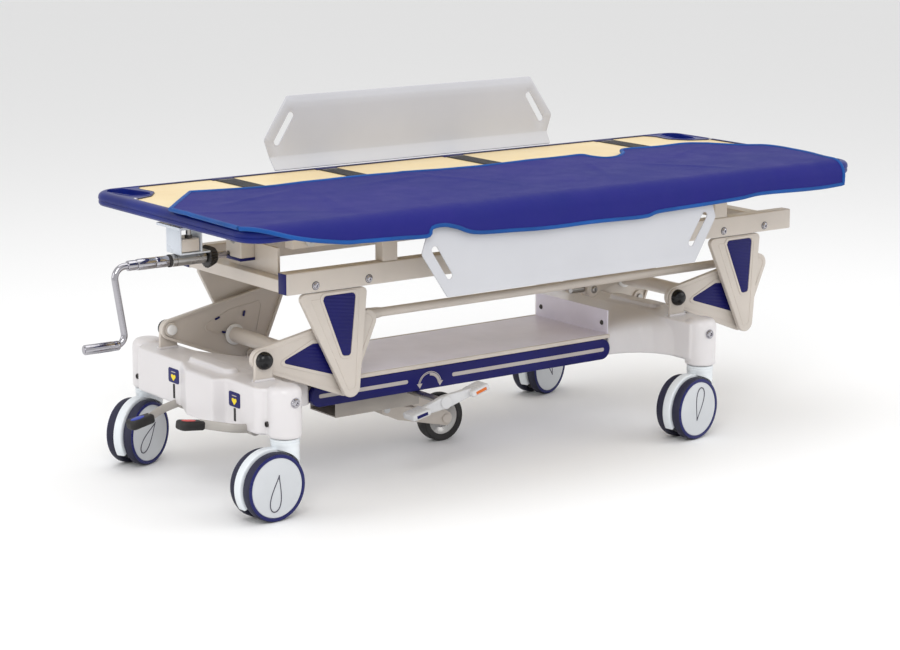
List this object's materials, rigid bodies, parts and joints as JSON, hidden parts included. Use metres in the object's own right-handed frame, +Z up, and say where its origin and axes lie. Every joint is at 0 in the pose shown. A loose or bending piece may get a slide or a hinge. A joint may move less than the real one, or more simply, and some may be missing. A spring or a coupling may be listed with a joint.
{
  "type": "stretcher trolley",
  "caption": "Patient transfer trolley: board on a crank-driven parallelogram lift, folding side guards, thin mat, twin-wheel castors, fifth wheel, brake pedals and a base shelf.",
  "frame": {"origin": "on the floor, under the middle of the trolley's bounding box", "axes": "+X along the trolley, away from the crank; +Z up; -Y is the side with the fifth wheel's pedal"},
  "size_m": [1.985, 0.7252, 0.816],
  "materials": {
    "frame_paint": "satin warm beige powder coat",
    "cover_white": "semi-gloss white moulding",
    "castor_white": "semi-gloss white plastic",
    "tyre": "charcoal tread, matt",
    "shelf_paint": "satin lavender-grey powder coat",
    "navy_plastic": "matt navy plastic",
    "rim_blue": "glossy royal blue moulding",
    "panel_cream": "smooth satin cream board",
    "mat_fabric": "close-woven coated nylon, slightly sheened",
    "guard_paint": "fine satin light grey powder coat",
    "pin_black": "glossy black cap",
    "black_rubber": "matt ribbed black rubber",
    "chrome": "polished chrome plate",
    "steel": "turned bright steel",
    "arm_grey": "satin grey-beige paint",
    "lever_grey": "satin light grey"
  },
  "bodies": {
    "base": {"chassis": "frame_paint", "end_cover_left": "cover_white", "end_cover_right": "cover_white", "shelf": "shelf_paint", "side_strip_near": "navy_plastic", "side_strip_far": "navy_plastic", "rocker_bracket_left_near": "frame_paint", "rocker_bracket_left_far": "frame_paint", "rocker_bracket_right_near": "frame_paint", "rocker_bracket_right_far": "frame_paint", "rocker_pin_left_near": "pin_black", "rocker_pin_left_far": "pin_black", "rocker_pin_right_near": "pin_black", "rocker_pin_right_far": "pin_black", "linkage_channel": "frame_paint", "brake_shaft": "steel"},
    "castor_left_near": {"castor_housing_left_near": "castor_white"},
    "wheels_left_near": {"castor_wheels_left_near": "tyre"},
    "castor_left_far": {"castor_housing_left_far": "castor_white"},
    "wheels_left_far": {"castor_wheels_left_far": "tyre"},
    "castor_right_near": {"castor_housing_right_near": "castor_white"},
    "wheels_right_near": {"castor_wheels_right_near": "tyre"},
    "castor_right_far": {"castor_housing_right_far": "castor_white"},
    "wheels_right_far": {"castor_wheels_right_far": "tyre"},
    "brake_on": {"brake_on_arm": "arm_grey", "brake_on_pad": "black_rubber"},
    "brake_off": {"brake_off_arm": "arm_grey", "brake_off_pad": "black_rubber"},
    "steer_arm": {"steer_arm": "frame_paint"},
    "steer_lever": {"steer_lever": "lever_grey"},
    "steer_wheel": {"steer_wheel_hub": "lever_grey", "steer_tyre": "black_rubber"},
    "rocker_left": {"rocker_left_near": "frame_paint", "rocker_left_far": "frame_paint", "cross_tube_left": "frame_paint"},
    "rocker_right": {"rocker_right_near": "frame_paint", "rocker_right_far": "frame_paint", "cross_tube_right": "frame_paint"},
    "sync_rod": {"sync_rod": "frame_paint"},
    "upper_frame": {"rail_near": "frame_paint", "rail_far": "frame_paint", "hanger_left_near": "frame_paint", "hanger_left_far": "frame_paint", "hanger_right_near": "frame_paint", "hanger_right_far": "frame_paint", "deck_track_near": "frame_paint", "deck_track_far": "frame_paint", "cross_beam_left": "frame_paint", "cross_beam_right": "frame_paint", "crank_bearing": "steel", "crank_hanger": "cover_white", "gear_case": "frame_paint"},
    "crank": {"crank": "chrome"},
    "crank_grip": {"crank_grip": "chrome"},
    "deck": {"deck_rim": "rim_blue", "deck_panel": "panel_cream", "deck_carriage": "frame_paint", "mat": "mat_fabric"},
    "guard_near": {"side_guard_near": "guard_paint"},
    "guard_far": {"side_guard_far": "guard_paint"}
  },
  "joints": [
    {"name": "castor_swivel_left_near", "type": "hinge", "parent": "base", "child": "castor_left_near", "pos_m": [-0.666, -0.286, 0.17], "axis": [0, 0, 1], "continuous": true},
    {"name": "castor_spin_left_near", "type": "hinge", "parent": "castor_left_near", "child": "wheels_left_near", "pos_m": [-0.71292, -0.28879, 0.075], "axis": [-0.0593, 0.9982, 0], "continuous": true},
    {"name": "castor_swivel_left_far", "type": "hinge", "parent": "base", "child": "castor_left_far", "pos_m": [-0.666, 0.296, 0.17], "axis": [0, 0, 1], "continuous": true},
    {"name": "castor_spin_left_far", "type": "hinge", "parent": "castor_left_far", "child": "wheels_left_far", "pos_m": [-0.70894, 0.27688, 0.075], "axis": [-0.4067, 0.9135, 0], "continuous": true},
    {"name": "castor_swivel_right_near", "type": "hinge", "parent": "base", "child": "castor_right_near", "pos_m": [0.526, -0.286, 0.17], "axis": [0, 0, 1], "continuous": true},
    {"name": "castor_spin_right_near", "type": "hinge", "parent": "castor_right_near", "child": "wheels_right_near", "pos_m": [0.47964, -0.29376, 0.075], "axis": [-0.165, 0.9863, 0], "continuous": true},
    {"name": "castor_swivel_right_far", "type": "hinge", "parent": "base", "child": "castor_right_far", "pos_m": [0.526, 0.296, 0.17], "axis": [0, 0, 1], "continuous": true},
    {"name": "castor_spin_right_far", "type": "hinge", "parent": "castor_right_far", "child": "wheels_right_far", "pos_m": [0.4813, 0.28148, 0.075], "axis": [-0.309, 0.9511, 0], "continuous": true},
    {"name": "lift", "type": "hinge", "parent": "base", "child": "rocker_left", "pos_m": [-0.664, -0.185, 0.324], "axis": [0, -1, 0], "range_deg": [0, 63]},
    {"name": "rocker_right_turn", "type": "hinge", "parent": "base", "child": "rocker_right", "pos_m": [0.524, -0.185, 0.324], "axis": [0, -1, 0], "range_deg": [0, 63]},
    {"name": "upper_frame_level", "type": "hinge", "parent": "rocker_left", "child": "upper_frame", "pos_m": [-0.446, -0.185, 0.237], "axis": [0, -1, 0], "range_deg": [-63, 0]},
    {"name": "sync_rod_level", "type": "hinge", "parent": "rocker_left", "child": "sync_rod", "pos_m": [-0.385, -0.135, 0.377], "axis": [0, -1, 0], "range_deg": [-63, 0]},
    {"name": "crank_turn", "type": "hinge", "parent": "upper_frame", "child": "crank", "pos_m": [-0.67, 0.005, 0.523], "axis": [-1, 0, 0], "range_deg": [0, 1890]},
    {"name": "crank_grip_spin", "type": "hinge", "parent": "crank", "child": "crank_grip", "pos_m": [-0.95, -0.009, 0.355], "axis": [-1, 0, 0], "continuous": true},
    {"name": "deck_slide", "type": "slide", "parent": "upper_frame", "child": "deck", "axis": [1, 0, 0], "range_m": [0, 0.6]},
    {"name": "guard_near_fold", "type": "hinge", "parent": "deck", "child": "guard_near", "pos_m": [0.09, -0.348, 0.628], "axis": [-1, 0, 0], "range_deg": [0, 180], "deforming": ["mat"]},
    {"name": "guard_far_fold", "type": "hinge", "parent": "deck", "child": "guard_far", "pos_m": [0.135, 0.358, 0.628], "axis": [-1, 0, 0], "range_deg": [0, 180]},
    {"name": "brake_on_press", "type": "hinge", "parent": "base", "child": "brake_on", "pos_m": [-0.698, 0.09, 0.181], "axis": [0, 1, 0], "range_deg": [0, 15]},
    {"name": "brake_off_press", "type": "hinge", "parent": "base", "child": "brake_off", "pos_m": [-0.698, -0.21, 0.181], "axis": [0, 1, 0], "range_deg": [-15, 0]},
    {"name": "steer_arm_lift", "type": "hinge", "parent": "base", "child": "steer_arm", "pos_m": [-0.209, 0.035, 0.175], "axis": [0, -1, 0], "range_deg": [0, 16]},
    {"name": "steer_lever_press", "type": "hinge", "parent": "base", "child": "steer_lever", "pos_m": [-0.209, -0.24, 0.175], "axis": [0, -1, 0], "range_deg": [-22, 0]},
    {"name": "steer_wheel_spin", "type": "hinge", "parent": "steer_arm", "child": "steer_wheel", "pos_m": [-0.02, 0.035, 0.0583], "axis": [0, 1, 0], "continuous": true}
  ],
  "couplings": [
    {"joint": "rocker_right_turn", "follows": "lift", "ratio": 1},
    {"joint": "upper_frame_level", "follows": "lift", "ratio": -1},
    {"joint": "sync_rod_level", "follows": "lift", "ratio": -1},
    {"joint": "crank_turn", "follows": "lift", "ratio": 30},
    {"joint": "brake_off_press", "follows": "brake_on_press", "ratio": -1},
    {"joint": "steer_lever_press", "follows": "steer_arm_lift", "ratio": -1.375}
  ]
}
